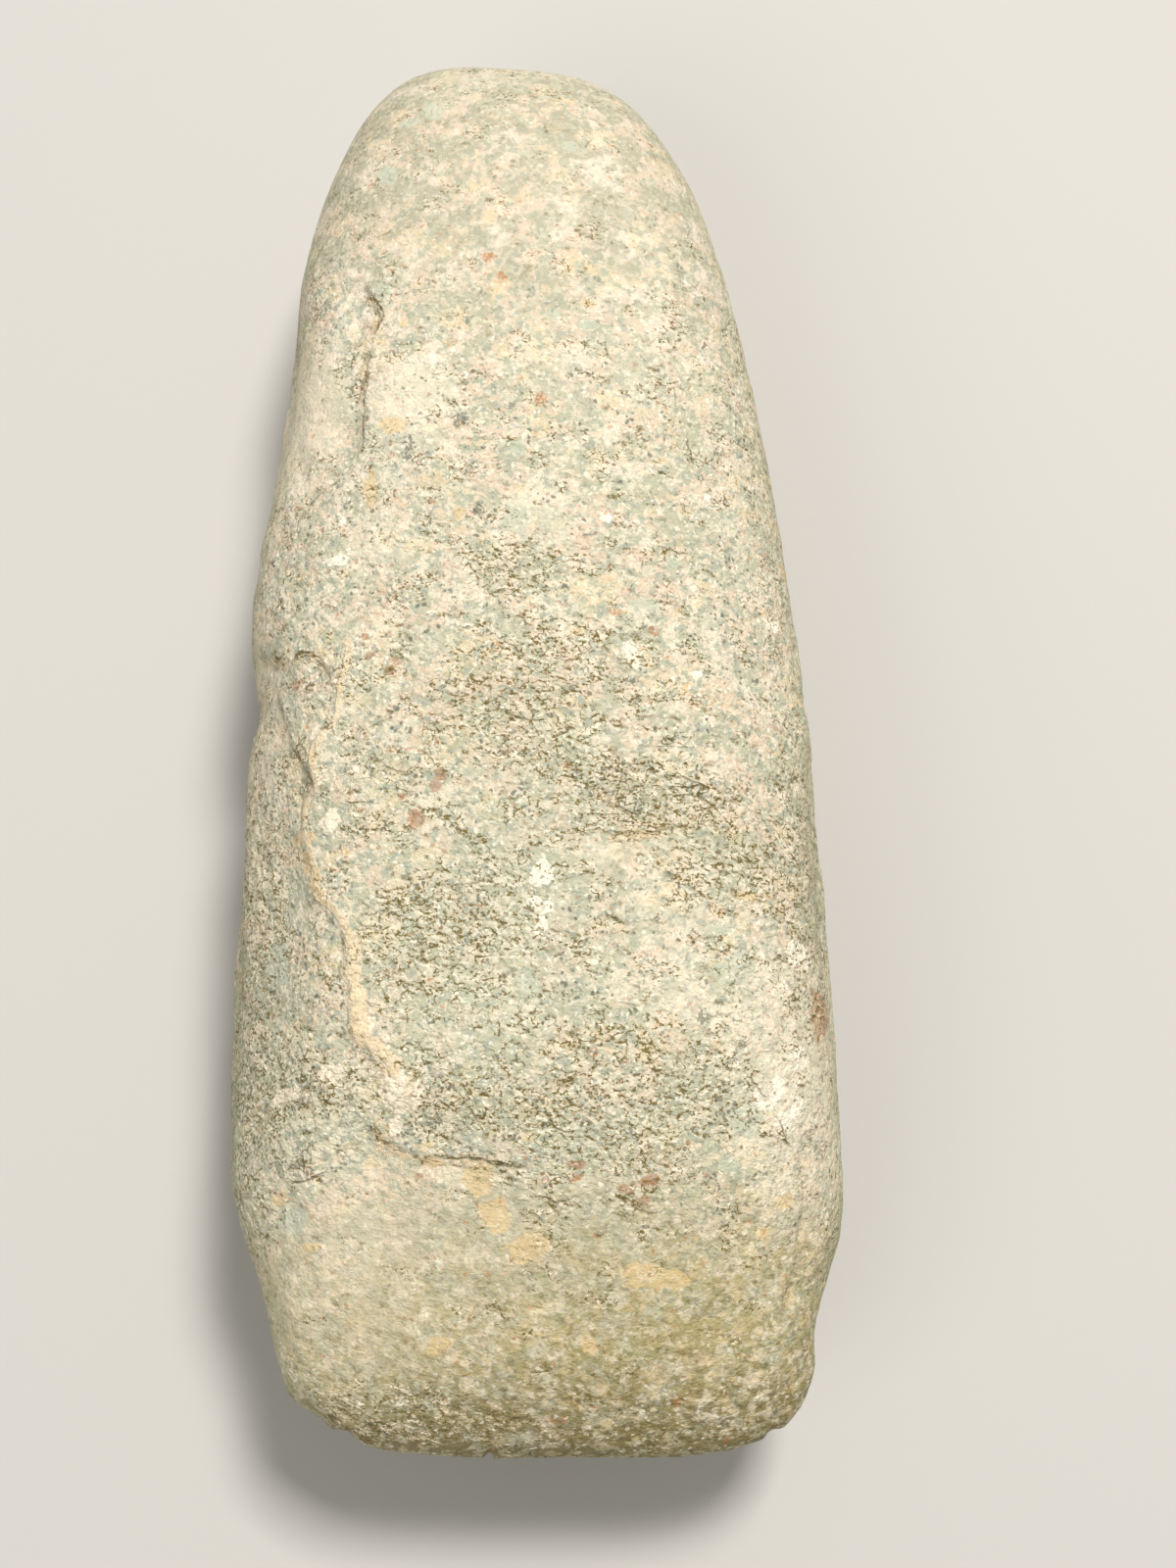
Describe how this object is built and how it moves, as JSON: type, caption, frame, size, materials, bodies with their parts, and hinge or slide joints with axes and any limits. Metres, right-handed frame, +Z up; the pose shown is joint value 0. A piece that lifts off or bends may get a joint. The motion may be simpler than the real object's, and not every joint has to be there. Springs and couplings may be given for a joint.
{
  "type": "polished stone axe head",
  "caption": "Ground and pecked stone axe head, long and oval in section, with a rounded butt and a bevelled cutting edge, worn and chipped, lying on one broad face.",
  "frame": {"origin": "on the surface that the stone lies on, under the middle of its box", "axes": "+Y along the stone from the cutting edge to the butt, +Z up out of the upper broad face, +X to the right of someone looking along +Y"},
  "size_m": [0.061, 0.1498, 0.0369],
  "materials": {
    "greenstone": "ground matt, pale weathered skin over grey-green stone"
  },
  "bodies": {
    "root": {"stone_axe_head": "greenstone"}
  },
  "joints": []
}
